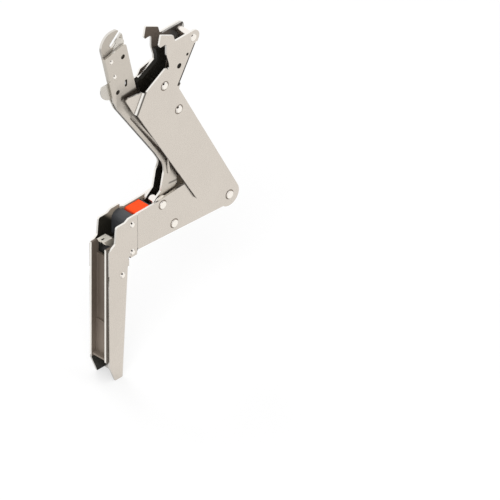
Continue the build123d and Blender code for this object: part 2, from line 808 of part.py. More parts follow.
nodes = {
    "carrier_frame": carrier_frame(),
    "socket_channel": socket_channel(),
    "latch_housing": latch_housing(),
    "housing_rivet": domed_rivet(
        housing_axis, half_width, small_rivet_radius, small_head_radius, small_head_height),
    "latch_rivet": domed_rivet(
        latch_axis, half_width, small_rivet_radius, small_head_radius, small_head_height),
    "socket_rivet": domed_rivet(
        socket_axis, half_width, small_rivet_radius, small_head_radius, small_head_height),
    "latch_spring": latch_spring(),
    "stop_rivet": flat_rivet(
        stop_axis, frame_outer, rivet_radius, rivet_head_radius, rivet_head_height),
    "stop_sleeve": ring(
        stop_axis, rivet_radius, rivet_radius + sleeve_wall, -frame_inner, frame_inner),
    "strap_rivet": flat_rivet(
        strap_axis, frame_outer, rivet_radius, rivet_head_radius, rivet_head_height),
    "strap_washers": both_sides(ring(
        strap_axis, rivet_radius, strap_eye_radius - side_play, strap_half + side_play, frame_inner)),
    "main_rivet": flat_rivet(
        main_axis, half_width + slip, rivet_radius, rivet_head_radius, rivet_head_height),
    "main_sleeve": ring(
        main_axis, rivet_radius, rivet_radius + 2 * sleeve_wall, -frame_inner, frame_inner),
    "main_washers": both_sides(ring(
        main_axis, rivet_radius, pivot_end_radius - sheet, frame_outer, arm_inner - side_play)),
    "socket_latch": socket_latch(),
    "release_button": release_button(),
    "main_arm_far": main_arm_plate(arm_far_apex, arm_far_notch, arm_far_crest),
    "main_arm_near": mirror(main_arm_plate(apex, arm_notch), about=Plane.XZ),
    "claw_far": claw_plate(),
    "claw_near": mirror(claw_plate(), about=Plane.XZ),
    "claw_pin": claw_pin(),
    "lever_rivet": flat_rivet(
        lever_axis, half_width, rivet_radius, rivet_head_radius, rivet_head_height),
    "claw_rivet": flat_rivet(
        claw_axis, half_width, rivet_radius, rivet_head_radius, rivet_head_height),
    "claw_sleeve": ring(
        claw_axis, rivet_radius, rivet_radius + sleeve_wall, -claw_inner, claw_inner),
    "hook_lever": hook_lever(),
    "lever_spacers": lever_spacers(),
    "strap_link": strap_link(),
    "strap_bush": ring(
        strap_axis, rivet_radius + slip, strap_bore, -strap_half, strap_half),
    "strap_hook": strap_hook(),
    "head_rivet": head_rivet(head_axis),
    "catch_rivet": head_rivet(catch_axis),
    "hook_catch": hook_catch(),
}

os.makedirs("parts", exist_ok=True)
for name, solid in nodes.items():
    export_step(solid, f"parts/{name}.step")
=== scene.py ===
import bpy
import bmesh
import json
import math
import numpy as np
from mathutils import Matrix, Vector


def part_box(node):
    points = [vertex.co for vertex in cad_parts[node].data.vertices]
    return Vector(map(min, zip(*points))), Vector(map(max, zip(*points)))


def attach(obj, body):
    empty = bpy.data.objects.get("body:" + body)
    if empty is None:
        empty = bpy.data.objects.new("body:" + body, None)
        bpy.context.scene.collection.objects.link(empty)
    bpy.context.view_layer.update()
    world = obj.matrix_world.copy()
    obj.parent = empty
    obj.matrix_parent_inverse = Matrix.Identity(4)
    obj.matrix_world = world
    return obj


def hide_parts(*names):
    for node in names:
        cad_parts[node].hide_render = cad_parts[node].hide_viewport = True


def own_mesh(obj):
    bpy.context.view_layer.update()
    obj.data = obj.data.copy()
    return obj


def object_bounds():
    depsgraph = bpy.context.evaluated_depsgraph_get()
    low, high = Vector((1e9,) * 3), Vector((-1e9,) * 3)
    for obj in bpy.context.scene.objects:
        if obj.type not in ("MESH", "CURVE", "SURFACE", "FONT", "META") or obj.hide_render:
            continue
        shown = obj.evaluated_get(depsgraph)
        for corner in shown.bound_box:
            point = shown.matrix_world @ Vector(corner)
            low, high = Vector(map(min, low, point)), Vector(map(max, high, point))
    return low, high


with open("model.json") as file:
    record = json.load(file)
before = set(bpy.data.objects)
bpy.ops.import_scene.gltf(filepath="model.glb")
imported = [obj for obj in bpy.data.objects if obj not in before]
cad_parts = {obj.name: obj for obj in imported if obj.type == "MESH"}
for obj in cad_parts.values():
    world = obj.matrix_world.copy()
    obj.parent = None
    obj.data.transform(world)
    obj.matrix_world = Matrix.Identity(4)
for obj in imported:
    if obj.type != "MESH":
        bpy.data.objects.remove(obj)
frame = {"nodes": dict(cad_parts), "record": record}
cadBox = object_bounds()
nodes = frame["nodes"]
bodyOf = {node: body for body, group in frame["record"]["behaviour"]["bodies"].items() for node in group}
mm = 0.001


# Small helpers for shader nodes
def newGroup(name, inputs, outputs):
    # A node group with named sockets, and its two end nodes
    group = bpy.data.node_groups.new(name, "ShaderNodeTree")
    for way, sockets in (("INPUT", inputs), ("OUTPUT", outputs)):
        for label, kind in sockets.items():
            group.interface.new_socket(label, in_out=way, socket_type="NodeSocket" + kind)
    return group, group.nodes.new("NodeGroupInput").outputs, group.nodes.new("NodeGroupOutput").inputs


def feed(tree, socket, value):
    # Links a socket to an input, or sets the input where the value is a plain one
    if isinstance(value, bpy.types.NodeSocket):
        tree.links.new(value, socket)
    else:
        socket.default_value = value


def maths(tree, how, first, second=0.0):
    made = tree.nodes.new("ShaderNodeMath")
    made.operation = how
    feed(tree, made.inputs[0], first)
    feed(tree, made.inputs[1], second)
    return made.outputs[0]


def scaled(tree, colour, amount):
    made = tree.nodes.new("ShaderNodeVectorMath")
    made.operation = "SCALE"
    feed(tree, made.inputs[0], colour)
    feed(tree, made.inputs["Scale"], amount)
    return made.outputs[0]


def ramped(tree, value, start, end):
    # Rises softly from 0 at start to 1 at end
    made = tree.nodes.new("ShaderNodeMapRange")
    made.interpolation_type = "SMOOTHSTEP"
    feed(tree, made.inputs["Value"], value)
    made.inputs["From Min"].default_value = start
    made.inputs["From Max"].default_value = end
    return made.outputs["Result"]


def blended(tree, part, first, second):
    made = tree.nodes.new("ShaderNodeMix")
    made.data_type = "RGBA"
    feed(tree, made.inputs["Factor"], part)
    feed(tree, made.inputs["A"], first)
    feed(tree, made.inputs["B"], second)
    return made.outputs["Result"]


def noise(tree, place, scale, detail):
    made = tree.nodes.new("ShaderNodeTexNoise")
    feed(tree, made.inputs["Vector"], place)
    feed(tree, made.inputs["Scale"], scale)
    made.inputs["Detail"].default_value = detail
    return made.outputs["Fac"]


def axesOf(tree, kind):
    # X, Y and Z of the place in the piece's own space (kind Object) or of the normal there (Normal)
    place = tree.nodes.new("ShaderNodeTexCoord")
    parts = tree.nodes.new("ShaderNodeSeparateXYZ")
    tree.links.new(place.outputs[kind], parts.inputs[0])
    return parts.outputs


# Between which values of the normal one side of a sheet goes over into the next. Across is the
# normal's share across the plates, facing is that share with the sign that is above 0 where it points
# away from the middle plane, and rise is its upward share less a part of its share to the right.
sideBorders = {
    "tilt": 0.35,  # that part
    "inner": (-0.5, -0.95),  # facing, where the inner side begins and is full
    "edge": (0.94, 0.82),  # across, where the face gives way to an edge or a bend
    "fold": (0.25, 0.4),  # across, from a cut edge to a bend or joggle
    "under": (-0.34, -0.14),  # rise, from the painted shade of downward edges to the lit edges
    "top": (0.36, 0.58),  # rise, where the painted highlight of upward edges begins and is full
    "rightLean": (0.4, 0.7),  # an edge that looks to the right counts as lit too,
    "rightAcross": (0.35, 0.15),  # as long as it is a cut edge and not a bend
    "flange": (0.0, 0.3),  # rise, on a flange near the middle plane, whose upper side takes the inner side's painted shade
    "dullness": 0.9,  # how much of its mirror a dull place loses
}


def makeSheetSides():
    # Tells the sides of a sheet apart by the normal: across the plates and away from the middle
    # plane is the face, across them and towards it the inner side, and the rest is cut edge,
    # bend or joggle. Nearer to the middle plane than Within, a flange is inner on its upper side.
    # Shade turns a place dark, such as the wall of a hole, and Dull takes its mirror away.
    # The tones paint light and shade in by the way each side faces: the inner side and the downward
    # edges get a painted shade, the upward edges a painted highlight, and Shade a painted shade.
    group, inlet, outlet = newGroup(
        "sheetSides",
        {"Face": "Color", "Fold": "Color", "Top": "Color", "Side": "Color", "Under": "Color",
         "Inner": "Color", "Shade": "Float", "Dull": "Float", "Within": "Float"},
        {"Colour": "Color", "Metal": "Float"})
    spot = axesOf(group, "Object")
    lean = axesOf(group, "Normal")
    across = maths(group, "ABSOLUTE", lean["Y"])
    facing = maths(group, "MULTIPLY", lean["Y"], maths(group, "SIGN", spot["Y"]))
    rise = maths(group, "SUBTRACT", lean["Z"], maths(group, "MULTIPLY", lean["X"], sideBorders["tilt"]))
    edge = ramped(group, across, *sideBorders["edge"])
    fold = ramped(group, across, *sideBorders["fold"])
    top = ramped(group, rise, *sideBorders["top"])
    right = maths(group, "MULTIPLY", ramped(group, lean["X"], *sideBorders["rightLean"]),
                  ramped(group, across, *sideBorders["rightAcross"]))
    lit = maths(group, "MAXIMUM", ramped(group, rise, *sideBorders["under"]), right)
    deep = maths(group, "LESS_THAN", maths(group, "ABSOLUTE", spot["Y"]), inlet["Within"])
    flange = maths(group, "MULTIPLY", deep, ramped(group, rise, *sideBorders["flange"]))
    inner = maths(group, "MAXIMUM", ramped(group, facing, *sideBorders["inner"]), flange)
    tone = blended(group, fold, inlet["Side"], inlet["Fold"])
    tone = blended(group, lit, inlet["Under"], tone)
    tone = blended(group, top, tone, inlet["Top"])
    tone = blended(group, edge, inlet["Face"], tone)
    tone = blended(group, inner, tone, inlet["Inner"])
    tone = blended(group, inlet["Shade"], tone, inlet["Under"])
    dull = maths(group, "MULTIPLY", edge, maths(group, "SUBTRACT", 1.0, lit))
    for other in (inner, inlet["Shade"], inlet["Dull"]):
        dull = maths(group, "MAXIMUM", dull, other)
    metal = maths(group, "SUBTRACT", 1.0, maths(group, "MULTIPLY", dull, sideBorders["dullness"]))
    group.links.new(tone, outlet["Colour"])
    group.links.new(metal, outlet["Metal"])
    return group


# Where the channel's tones change. Places are in millimetres.
channelBorders = {
    "front": (-4.9, -5.15),  # along X, the fronts of the lips
    "outside": (7.3, 7.6),  # from the middle plane out, the outer sides
    "turned": (-0.8, -0.4),  # the normal's share along X, where an outer side begins
    "foot": (45, 5),  # along Z, from the web's tone to the foot's
    "metal": (0.225, 0.75),  # the metal's share inside, and what the fronts have more
}


def makeChannelSides():
    # The folded channel, with its light and shade painted in: a painted highlight on the fronts of its
    # lips, painted shade inside that is lighter towards the foot, and a painted shadow on the outer sides
    # where it lies on the cheeks
    group, inlet, outlet = newGroup(
        "channelSides", {"Lip": "Color", "Web": "Color", "Foot": "Color", "Outside": "Color"},
        {"Colour": "Color", "Metal": "Float"})
    spot = axesOf(group, "Object")
    lean = axesOf(group, "Normal")
    border = {part: [place * mm for place in channelBorders[part]] for part in ("front", "outside", "foot")}
    front = ramped(group, spot["X"], *border["front"])
    outside = ramped(group, maths(group, "ABSOLUTE", spot["Y"]), *border["outside"])
    outside = maths(group, "MULTIPLY", outside, ramped(group, lean["X"], *channelBorders["turned"]))
    web = blended(group, ramped(group, spot["Z"], *border["foot"]), inlet["Web"], inlet["Foot"])
    tone = blended(group, front, web, inlet["Lip"])
    tone = blended(group, outside, tone, inlet["Outside"])
    least, more = channelBorders["metal"]
    group.links.new(tone, outlet["Colour"])
    group.links.new(maths(group, "ADD", maths(group, "MULTIPLY", front, more), least), outlet["Metal"])
    return group


wallBorder = (0.30 * mm, 0.12 * mm)  # how far past a hole's radius its shade ends and is full


def makeHoleShade():
    # 1 on the wall of a round hole across the plates, or of a slot that runs up, and 0 elsewhere
    group, inlet, outlet = newGroup(
        "holeShade", {"Centre X": "Float", "Centre Z": "Float", "Radius": "Float", "Slot": "Float"},
        {"Shade": "Float"})
    spot = axesOf(group, "Object")
    aside = maths(group, "SUBTRACT", spot["X"], inlet["Centre X"])
    above = maths(group, "ABSOLUTE", maths(group, "SUBTRACT", spot["Z"], inlet["Centre Z"]))
    above = maths(group, "MAXIMUM", maths(group, "SUBTRACT", above, inlet["Slot"]), 0.0)
    square = maths(group, "ADD", maths(group, "MULTIPLY", aside, aside),
                   maths(group, "MULTIPLY", above, above))
    over = maths(group, "SUBTRACT", maths(group, "SQRT", square), inlet["Radius"])
    group.links.new(ramped(group, over, *wallBorder), outlet["Shade"])
    return group


def makeBandShade():
    # 1 within a straight band on the plates and 0 beyond it. The band is given by the slope of its
    # cross direction (Across X, Across Z), the offset of its middle, its half width and soft border.
    group, inlet, outlet = newGroup(
        "bandShade",
        {"Across X": "Float", "Across Z": "Float", "Offset": "Float", "Half": "Float", "Soft": "Float"},
        {"Shade": "Float"})
    spot = axesOf(group, "Object")
    over = maths(group, "ADD", maths(group, "MULTIPLY", spot["X"], inlet["Across X"]),
                 maths(group, "MULTIPLY", spot["Z"], inlet["Across Z"]))
    over = maths(group, "ABSOLUTE", maths(group, "SUBTRACT", over, inlet["Offset"]))
    left = maths(group, "SUBTRACT", maths(group, "ADD", inlet["Half"], inlet["Soft"]), over)
    group.links.new(ramped(group, maths(group, "DIVIDE", left, inlet["Soft"]), 0, 1), outlet["Shade"])
    return group


rolling = {"stretch": (2600, 2600, 160), "grainDetail": 3, "cloudDetail": 4}  # the grain is long along Z


def makePlateGrain():
    # Plated sheet: slow clouds of tone and a fine rolled grain along Z
    group, inlet, outlet = newGroup(
        "plateGrain",
        {"Colour": "Color", "Rough": "Float", "Grain": "Float", "Tone": "Float", "Cloud": "Float"},
        {"Colour": "Color", "Rough": "Float", "Height": "Float"})
    place = group.nodes.new("ShaderNodeTexCoord").outputs["Object"]
    stretch = group.nodes.new("ShaderNodeMapping")
    stretch.inputs["Scale"].default_value = rolling["stretch"]
    group.links.new(place, stretch.inputs["Vector"])
    clouds = noise(group, place, inlet["Cloud"], rolling["cloudDetail"])
    grain = noise(group, stretch.outputs["Vector"], 1.0, rolling["grainDetail"])
    tone = maths(group, "MULTIPLY", maths(group, "SUBTRACT", clouds, 0.5), inlet["Tone"])
    streak = maths(group, "MULTIPLY", maths(group, "SUBTRACT", grain, 0.5), inlet["Grain"])
    both = maths(group, "ADD", tone, streak)
    group.links.new(scaled(group, inlet["Colour"], maths(group, "ADD", both, 1.0)), outlet["Colour"])
    group.links.new(maths(group, "ADD", inlet["Rough"], both), outlet["Rough"])
    group.links.new(grain, outlet["Height"])
    return group


moulding = {"driftScale": 140, "detail": 2}


def makeMouldSkin():
    # Moulded plastic: fine pores as a height, and a faint spread of tone and roughness
    group, inlet, outlet = newGroup(
        "mouldSkin", {"Colour": "Color", "Rough": "Float", "Pores": "Float", "Spread": "Float"},
        {"Colour": "Color", "Rough": "Float", "Height": "Float"})
    place = group.nodes.new("ShaderNodeTexCoord").outputs["Object"]
    pores = noise(group, place, inlet["Pores"], moulding["detail"])
    clouds = noise(group, place, moulding["driftScale"], moulding["detail"])
    drift = maths(group, "MULTIPLY", clouds, inlet["Spread"])
    group.links.new(scaled(group, inlet["Colour"], maths(group, "ADD", drift, 1.0)), outlet["Colour"])
    group.links.new(maths(group, "ADD", inlet["Rough"], drift), outlet["Rough"])
    group.links.new(pores, outlet["Height"])
    return group


sheetSides = makeSheetSides()
channelSides = makeChannelSides()
holeShade = makeHoleShade()
bandShade = makeBandShade()
plateGrain = makePlateGrain()
mouldSkin = makeMouldSkin()
bumpDepth = 0.05 * mm
plateSpecular = 0.15


def newMaterial(name):
    made = bpy.data.materials.new(name)
    made.use_nodes = True
    return made, made.node_tree, made.node_tree.nodes["Principled BSDF"]


def useGroup(tree, group, values):
    made = tree.nodes.new("ShaderNodeGroup")
    made.node_tree = group
    for label, value in values.items():
        feed(tree, made.inputs[label], value)
    return made.outputs


def opaque(tone):
    return (*tone, 1)


def dress(tree, shader, skin, bumpStrength):
    # Joins a skin's colour, roughness and height to the shader
    bump = tree.nodes.new("ShaderNodeBump")
    bump.inputs["Strength"].default_value = bumpStrength
    bump.inputs["Distance"].default_value = bumpDepth
    tree.links.new(skin["Colour"], shader.inputs["Base Color"])
    tree.links.new(skin["Rough"], shader.inputs["Roughness"])
    tree.links.new(skin["Height"], bump.inputs["Height"])
    tree.links.new(bump.outputs["Normal"], shader.inputs["Normal"])


def grained(tree, shader, look, sides):
    # The grain of the plating over the tones that a sides group gives
    skin = useGroup(tree, plateGrain, {
        "Colour": sides["Colour"], "Rough": look["rough"], "Grain": look["grain"], "Tone": look["tone"],
        "Cloud": look["cloud"]})
    tree.links.new(sides["Metal"], shader.inputs["Metallic"])
    shader.inputs["Specular IOR Level"].default_value = plateSpecular
    dress(tree, shader, skin, look["bump"])


def patchesOn(tree, patches):
    # The strongest of several patches. A patch is its depth and the bands that it lies in, each given
    # as (slope X, slope Z, offset, half width, soft border) in millimetres.
    shade = 0.0
    for depth, bands in patches:
        patch = depth
        for acrossX, acrossZ, offset, half, soft in bands:
            band = useGroup(tree, bandShade, {
                "Across X": acrossX, "Across Z": acrossZ, "Offset": offset * mm, "Half": half * mm,
                "Soft": soft * mm})
            patch = maths(tree, "MULTIPLY", band["Shade"], patch)
        shade = maths(tree, "MAXIMUM", patch, shade)
    return shade


def sheetMetal(name, look):
    made, tree, shader = newMaterial(name)
    shade = patchesOn(tree, look["dark"])
    for x, z, radius, slot in look["holes"]:
        wall = useGroup(tree, holeShade, {
            "Centre X": x * mm, "Centre Z": z * mm, "Radius": radius * mm, "Slot": slot * mm})
        shade = maths(tree, "MAXIMUM", wall["Shade"], shade)
    # The inner side's painted shade, which further turns towards a second painted tone and rim lightens
    # with painted highlights
    inner = opaque(look["inner"])
    if look["further"]:
        further = look["further"]
        spot = axesOf(tree, "Object")
        along = maths(tree, "ADD", maths(tree, "MULTIPLY", spot["X"], further["slope"]), spot["Z"])
        part = ramped(tree, along, further["start"] * mm, further["end"] * mm)
        inner = blended(tree, part, inner, opaque(further["tone"]))
    if look["rim"]:
        inner = blended(tree, patchesOn(tree, look["rim"]), inner, opaque(look["side"]))
    sides = useGroup(tree, sheetSides, {
        "Face": opaque(look["face"]), "Fold": opaque(look["fold"]), "Top": opaque(look["top"]),
        "Side": opaque(look["side"]), "Under": opaque(look["under"]), "Inner": inner, "Shade": shade,
        "Dull": patchesOn(tree, look["dull"]), "Within": look["within"] * mm})
    grained(tree, shader, look, sides)
    return made


def channelMetal(name, look):
    made, tree, shader = newMaterial(name)
    sides = useGroup(tree, channelSides, {
        "Lip": opaque(look["lip"]), "Web": opaque(look["web"]), "Foot": opaque(look["foot"]),
        "Outside": opaque(look["outside"])})
    grained(tree, shader, look, sides)
    return made


def moulded(name, look):
    # One tone, or with a nose a second one, a painted shade, where the piece looks to the left
    made, tree, shader = newMaterial(name)
    paint = opaque(look["colour"])
    if "nose" in look:
        left = ramped(tree, axesOf(tree, "Normal")["X"], *look["noseLean"])
        paint = blended(tree, left, paint, opaque(look["nose"]))
    skin = useGroup(tree, mouldSkin, {
        "Colour": paint, "Rough": look["rough"], "Pores": look["pores"], "Spread": look["spread"]})
    shader.inputs["Specular IOR Level"].default_value = look["shine"]
    dress(tree, shader, skin, look["bump"])
    return made


# Plated sheets. Face is a sheet's outer side, fold its joggles and broken edges, top, side and under
# are its edges by the way they face, and inner is the side that looks into the mechanism. The tones
# other than face are the one plating with light and shade painted in: top and a bright fold are
# painted highlights, and inner and, on most sheets, under are painted shade. Grain, tone and cloud
# are the strength of the rolled grain, and the strength and scale of the slow clouds. Holes are given
# as (x, z, radius, half length of a slot) in millimetres; each hole and a thin ring round it get a
# painted shade. Dark, dull and rim are patches: painted shade, places without a mirror, and painted
# highlights along rims on the inner side. Further is the inner side's other tone, which it takes from
# start to end of slope times X plus Z, in millimetres: a painted change of light across that side.
nickelPlate = {
    "face": (0.66, 0.605, 0.54), "fold": (0.62, 0.585, 0.54), "top": (0.93, 0.90, 0.85),
    "side": (0.58, 0.56, 0.53), "under": (0.045, 0.038, 0.030), "inner": (0.13, 0.105, 0.085),
    "rough": 0.27, "grain": 0.08, "tone": 0.09, "cloud": 60, "bump": 0.04,
    "holes": (), "dark": (), "dull": (), "rim": (), "further": None, "within": 0,
}
# The arms' fold is bright, a painted highlight on the lug's joggle, with painted shade lines along its
# borders.
armPlate = dict(
    nickelPlate, fold=(1.0, 0.97, 0.92),
    dark=[(0.9, [(0.884, -0.467, -68.5, 0.45, 0.3)]),  # painted shade lines along the two borders of the lug's joggle
          (0.6, [(0.884, -0.467, -70.5, 0.3, 0.3)])])
# The cheeks' inner side is near black, a painted shade, turning lighter towards the shoulder, a painted
# highlight; each relief hole gets a painted shade.
framePlate = dict(
    nickelPlate, inner=(0.022, 0.020, 0.015),
    further={"tone": (0.34, 0.29, 0.23), "slope": 1.0, "start": 114.5, "end": 121},
    holes=[(15.35, 77.95, 0.9, 0), (23.8, 80.55, 0.9, 0)])
# The claws' inner side, and the upper side of their flanges within 6.3 mm of the middle plane, get a
# painted shade that turns darker further back and up.
clawPlate = dict(
    nickelPlate, within=6.3,
    further={"tone": (0.05, 0.043, 0.036), "slope": 3.0, "start": 424, "end": 442},
    holes=[(63.3, 210.3, 1.8, 0), (71.0, 216.0, 0.9, 0)],
    dark=[(1.0, [(0.857, -0.516, -46.9, 1.0, 0.35), (0, 1, 208, 13.5, 0.3)])],  # painted shade along the bend of the long edge
    rim=[(1.0, [(0, 1, 232.5, 1.7, 0.3), (1, 0, 71, 9, 1)]),  # painted highlight along the upper edge of the lobe, on the inner side
         (0.8, [(0.857, -0.516, -46.9, 1.5, 0.4), (0, 1, 230, 6, 1)])])  # painted highlight at the top of the long edge, on the inner side
# The strap's inner side is near black, a painted shade, lighter higher up; its hole walls and dark patches
# are painted shade.
strapPlate = dict(
    nickelPlate, face=(0.60, 0.55, 0.485), fold=(0.52, 0.485, 0.43), side=(0.50, 0.475, 0.43),
    inner=(0.012, 0.010, 0.007), rough=0.33,
    further={"tone": (0.36, 0.32, 0.28), "slope": 0.0, "start": 150, "end": 190},
    holes=[(13.8, 240.6, 1.6, 0), (9.0, 213.9, 1.6, 0), (16.7, 217.8, 0.95, 1.7)],
    dark=[(1.0, [(-0.08, 1, 206.1, 0.7, 3.2), (1, 0, 19, 6.3, 2.5)]),  # painted shade at the head's lower corner
          (0.38, [(-0.08, 1, 206.1, 1.0, 15.0), (1, 0, 20, 11, 3)]),  # the soft painted shade round it
          (0.75, [(0.1, 1, 121.6, 0.3, 0.9), (1, 0, 62, 4, 2)]),  # painted shade of a short crease low on the leg
          (0.45, [(0.829, 0.559, 123.6, 0.4, 1.8), (0, 1, 189, 8, 10)])])  # painted shade along the upper part of the bead
hookPlate = dict(
    nickelPlate, face=(0.52, 0.475, 0.415), top=(0.75, 0.72, 0.67), side=(0.42, 0.40, 0.37),
    inner=(0.36, 0.32, 0.28), rough=0.36,
    dull=[(0.45, [(-0.238, 1, 240, 8.5, 4)])])  # the dimmer band beside the head plate
catchPlate = dict(hookPlate, face=(0.62, 0.585, 0.53), fold=(0.8, 0.77, 0.72))
# The latch's tones by facing are painted light and shade as it sits in the housing: a darker face, bright
# edges and a dark inner side.
latchPlate = dict(
    nickelPlate, face=(0.42, 0.38, 0.32), fold=(0.62, 0.58, 0.50), top=(0.62, 0.585, 0.52),
    side=(0.85, 0.79, 0.69), under=(0.8, 0.74, 0.65), inner=(0.08, 0.07, 0.055), rough=0.3,
    dull=[(1.0, [(0, 1, 95, 30, 1)])])  # all of the latch
brightNickel = dict(
    nickelPlate, face=(0.91, 0.86, 0.79), top=(0.95, 0.90, 0.85), side=(0.9, 0.85, 0.80),
    under=(0.35, 0.31, 0.27), inner=(0.42, 0.38, 0.34), rough=0.14, grain=0.03, tone=0.04,
    cloud=120, bump=0.02)
springSteel = dict(
    nickelPlate, face=(0.45, 0.44, 0.43), top=(0.5, 0.49, 0.48), side=(0.4, 0.39, 0.38),
    inner=(0.3, 0.29, 0.28), rough=0.28, tone=0.10, cloud=90)
# The channel's tones: lip a painted highlight, web and foot painted shade, outside a painted shadow.
channelPlate = {
    "lip": (0.88, 0.85, 0.80), "web": (0.155, 0.125, 0.10), "foot": (0.23, 0.19, 0.155),
    "outside": (0.15, 0.13, 0.11), "rough": 0.4, "grain": 0.08, "tone": 0.16, "cloud": 34, "bump": 0.04,
}

# Near-black lever, plastics and painted shades. Pores is the scale of the fine pores, spread the drift of
# tone and roughness.
# The lever's near black, which also stands in for the shade between the claws; the discs in the claws'
# holes use it as a painted shade.
leverBlackAndHoleShade = {
    "colour": (0.008, 0.007, 0.005), "rough": 0.34, "pores": 900, "bump": 0.06, "spread": 0.2,
    "shine": 0.14,
}
mouldedBlack = {
    "colour": (0.040, 0.042, 0.046), "rough": 0.42, "pores": 2400, "bump": 0.12, "spread": 0.15,
    "shine": 0.5,
}
# The button's nose tone is a painted shade where it looks to the left.
mouldedOrange = {
    "colour": (0.94, 0.070, 0.008), "nose": (0.43, 0.034, 0.011), "noseLean": (-0.35, -0.9),
    "rough": 0.4, "pores": 1800, "bump": 0.05, "spread": 0.05, "shine": 0.12,
}
# The painted shade of the low flange round the flat rivet buttons.
rivetFlangeShade = {
    "colour": (0.17, 0.14, 0.115), "rough": 0.6, "pores": 600, "bump": 0.02, "spread": 0.2,
    "shine": 0.1,
}
finishes = {
    "arm": sheetMetal("armPlate", armPlate),
    "frame": sheetMetal("framePlate", framePlate),
    "claw": sheetMetal("clawPlate", clawPlate),
    "strap": sheetMetal("strapPlate", strapPlate),
    "hook": sheetMetal("hookPlate", hookPlate),
    "catch": sheetMetal("catchPlate", catchPlate),
    "latch": sheetMetal("latchPlate", latchPlate),
    "bright": sheetMetal("brightNickel", brightNickel),
    "spring": sheetMetal("springSteel", springSteel),
    "channel": channelMetal("channelPlate", channelPlate),
    "dark": moulded("leverBlackAndHoleShade", leverBlackAndHoleShade),
    "black": moulded("mouldedBlack", mouldedBlack),
    "orange": moulded("mouldedOrange", mouldedOrange),
    "flangeShade": moulded("rivetFlangeShade", rivetFlangeShade),
}
print("finishes made:", len(finishes))


def linked(name, data):
    made = bpy.data.objects.new(name, data)
    bpy.context.scene.collection.objects.link(made)
    return made


# Pressed and moulded pieces: the finish and the width of the broken edges, in millimetres
pressed = {
    "carrier_frame": ("frame", 0.3),
    "socket_channel": ("channel", 0.2),
    "latch_housing": ("black", 0.3),
    "latch_spring": ("spring", 0.08),
    "socket_latch": ("latch", 0.15),
    "release_button": ("orange", 0.3),
    "main_arm_near": ("arm", 0.35),
    "main_arm_far": ("arm", 0.35),
    "claw_near": ("claw", 0.35),
    "claw_far": ("claw", 0.35),
    "hook_lever": ("dark", 0.35),
    "strap_link": ("strap", 0.25),
    "strap_hook": ("hook", 0.35),
    "hook_catch": ("catch", 0.12),
}
sleeves = ("bright", 0.12)  # the same for the sleeves, spacers, washers and the bush

# Corners nearer than merge (in metres) become one, faces under flat degrees apart too, and edges over
# sharp degrees are broken in this number of segments. At the full level weight the large flat faces
# keep their own normals.
edges = {"merge": 1e-6, "flat": 0.5, "sharp": 32, "segments": 2, "levelWeight": 100}


def brokenEdges(name, finish, width):
    # A copy of a piece's solid with its corners merged and its sharp edges rounded
    mesh = nodes[name].data.copy()
    work = bmesh.new()
    work.from_mesh(mesh)
    bmesh.ops.remove_doubles(work, verts=work.verts, dist=edges["merge"])
    bmesh.ops.dissolve_limit(work, angle_limit=math.radians(edges["flat"]), verts=work.verts,
                             edges=work.edges)
    work.to_mesh(mesh)
    work.free()
    mesh.polygons.foreach_set("use_smooth", np.ones(len(mesh.polygons), dtype=bool))
    mesh.materials.clear()
    mesh.materials.append(finishes[finish])
    piece = linked(name + "_finished", mesh)
    bevel = piece.modifiers.new("edge", "BEVEL")
    bevel.width = width * mm
    bevel.segments = edges["segments"]
    bevel.limit_method = "ANGLE"
    bevel.angle_limit = math.radians(edges["sharp"])
    bevel.use_clamp_overlap = True
    level = piece.modifiers.new("flat faces", "WEIGHTED_NORMAL")
    level.weight = edges["levelWeight"]
    level.keep_sharp = False
    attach(piece, bodyOf[name])
    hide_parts(name)
    if name == "latch_spring":
        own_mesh(piece)


# Rivets and the pin: a head is a flat button with a flank, that stands in a low flange with a painted
# shade or on its own. Sizes are in millimetres.
flatHead = {"height": 0.8, "button": 3.0, "flank": 0.2, "flange": 0.12, "shank": 2.4}
bevelHead = {"height": 0.8, "button": 2.95, "flank": 0.62, "flange": 0.12, "shank": 2.4}
smallHead = {"height": 0.9, "button": 2.3, "flank": 0.68, "flange": 0.0, "shank": 1.5}
pinHead = {"height": 0.4, "button": 2.8, "flank": 0.3, "flange": 0.0, "shank": 2.8}
tinyHead = {"height": 0.5, "button": 1.7, "flank": 0.4, "flange": 0.0, "shank": 1.1}
turned = {
    "stop_rivet": flatHead, "strap_rivet": flatHead, "main_rivet": flatHead,
    "lever_rivet": bevelHead, "claw_rivet": bevelHead,
    "housing_rivet": smallHead, "latch_rivet": smallHead, "socket_rivet": smallHead,
    "claw_pin": pinHead, "head_rivet": tinyHead, "catch_rivet": tinyHead,
}
turning = {"steps": 72, "softness": 0.06, "sharp": 25}  # steps to a turn, cut corners in mm, degrees


def carriedRound(profile, axis, middle):
    # A profile carried round an axis along Y. Its points are (radius, distance along Y), and each
    # becomes a ring with X = axis X + radius cos a, Y = middle + distance, Z = axis Z + radius sin a.
    # Gives the points, their numbers ring by ring, and the quads between the rings.
    steps = turning["steps"]
    angle = np.arange(steps) / steps * 2 * math.pi
    radius, along = mm * profile[:, :1], mm * profile[:, 1:]
    points = np.stack([
        axis[0] + radius * np.cos(angle),
        np.repeat(middle + along, steps, axis=1),
        axis[1] + radius * np.sin(angle)], axis=2).reshape(-1, 3)
    here = np.arange(len(points)).reshape(-1, steps)
    there = np.roll(here, -1, axis=1)
    quads = np.stack([here[:-1], here[1:], there[1:], there[:-1]], axis=2).reshape(-1, 4)
    return points, here, quads


def closedMesh(name, points, faces):
    # A mesh with all its faces turned outwards
    mesh = bpy.data.meshes.new(name)
    mesh.from_pydata(points, [], faces)
    work = bmesh.new()
    work.from_mesh(mesh)
    bmesh.ops.recalc_face_normals(work, faces=work.faces)
    work.to_mesh(mesh)
    work.free()
    return mesh


